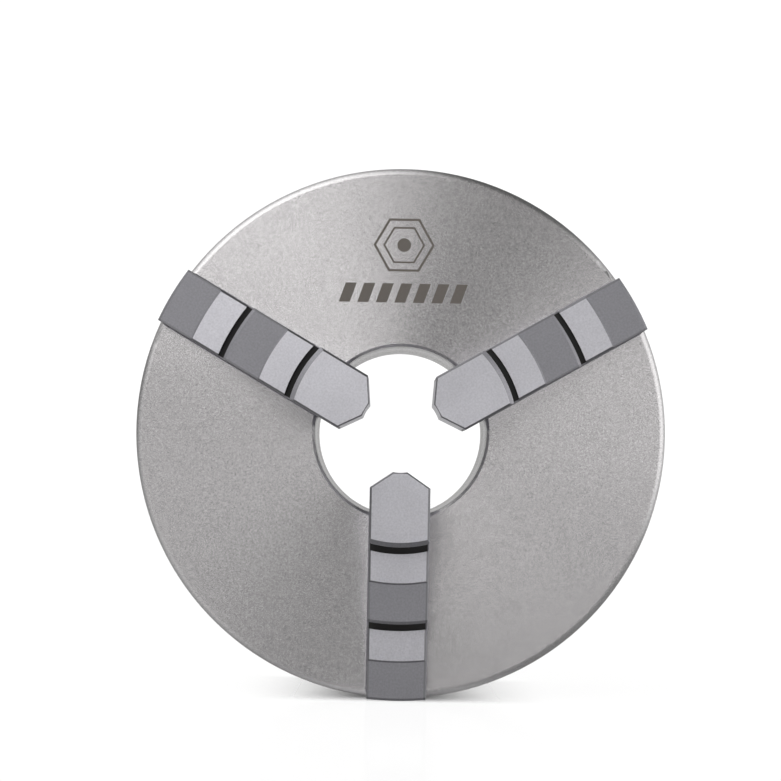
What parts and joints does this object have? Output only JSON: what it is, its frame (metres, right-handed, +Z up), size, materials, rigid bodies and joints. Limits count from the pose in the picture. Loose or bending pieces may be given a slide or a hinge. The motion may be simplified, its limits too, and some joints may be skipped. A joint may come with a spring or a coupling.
{
  "type": "lathe chuck",
  "caption": "Self-centring scroll chuck for a lathe: round body with stepped radial jaws driven together by a spiral scroll plate and bevel pinions.",
  "frame": {"origin": "centre of the rear register recess, in the plane of the rear mounting face", "axes": "+Y along the spindle axis towards the lathe headstock, so the jaws face -Y; +Z up through drive pinion 1; one jaw points straight down"},
  "size_m": [0.2, 0.109, 0.2],
  "materials": {
    "body_iron": "turned and ground, bright",
    "cover_iron": "turned",
    "jaw_steel": "hardened, ground sides and seats, darker heat-treated lands",
    "scroll_steel": "machined and hardened",
    "pinion_steel": "ground journals",
    "dowel_steel": "ground",
    "black_screw_steel": "black oxide"
  },
  "bodies": {
    "housing": {"chuck_body": "body_iron", "back_cover": "cover_iron", "cover_screw_1": "black_screw_steel", "cover_screw_2": "black_screw_steel", "cover_screw_3": "black_screw_steel", "cover_screw_4": "black_screw_steel", "cover_screw_5": "black_screw_steel", "cover_screw_6": "black_screw_steel", "cover_dowel_1": "dowel_steel", "cover_dowel_2": "dowel_steel", "pinion_locating_screw_1": "black_screw_steel", "pinion_locating_screw_2": "black_screw_steel", "pinion_locating_screw_3": "black_screw_steel"},
    "scroll": {"scroll_plate": "scroll_steel"},
    "jaw_1": {"jaw_1": "jaw_steel"},
    "pinion_1": {"drive_pinion_1": "pinion_steel"},
    "jaw_2": {"jaw_2": "jaw_steel"},
    "pinion_2": {"drive_pinion_2": "pinion_steel"},
    "jaw_3": {"jaw_3": "jaw_steel"},
    "pinion_3": {"drive_pinion_3": "pinion_steel"}
  },
  "joints": [
    {"name": "scroll_spin", "type": "hinge", "parent": "housing", "child": "scroll", "pos_m": [0, -0.04, 0], "axis": [0, -1, 0], "range_deg": [-1237.5, 585]},
    {"name": "jaw_1_slide", "type": "slide", "parent": "housing", "child": "jaw_1", "axis": [0.866, 0, 0.5], "range_m": [-0.01301, 0.02751]},
    {"name": "jaw_2_slide", "type": "slide", "parent": "housing", "child": "jaw_2", "axis": [-0.866, 0, 0.5], "range_m": [-0.01301, 0.02751]},
    {"name": "jaw_3_slide", "type": "slide", "parent": "housing", "child": "jaw_3", "axis": [0, 0, -1], "range_m": [-0.01301, 0.02751]},
    {"name": "pinion_1_spin", "type": "hinge", "parent": "housing", "child": "pinion_1", "pos_m": [0, -0.022, 0.09], "axis": [0, 0, 1], "range_deg": [-3511, 7426]},
    {"name": "pinion_2_spin", "type": "hinge", "parent": "housing", "child": "pinion_2", "pos_m": [-0.07794, -0.022, -0.045], "axis": [-0.866, 0, -0.5], "range_deg": [-3511, 7426]},
    {"name": "pinion_3_spin", "type": "hinge", "parent": "housing", "child": "pinion_3", "pos_m": [0.07794, -0.022, -0.045], "axis": [0.866, 0, -0.5], "range_deg": [-3511, 7426]}
  ],
  "couplings": [
    {"joint": "jaw_1_slide", "follows": "scroll_spin", "m_per_rad": -0.0012732},
    {"joint": "jaw_2_slide", "follows": "scroll_spin", "m_per_rad": -0.0012732},
    {"joint": "jaw_3_slide", "follows": "scroll_spin", "m_per_rad": -0.0012732},
    {"joint": "pinion_1_spin", "follows": "scroll_spin", "ratio": -6},
    {"joint": "pinion_2_spin", "follows": "scroll_spin", "ratio": -6},
    {"joint": "pinion_3_spin", "follows": "scroll_spin", "ratio": -6}
  ]
}
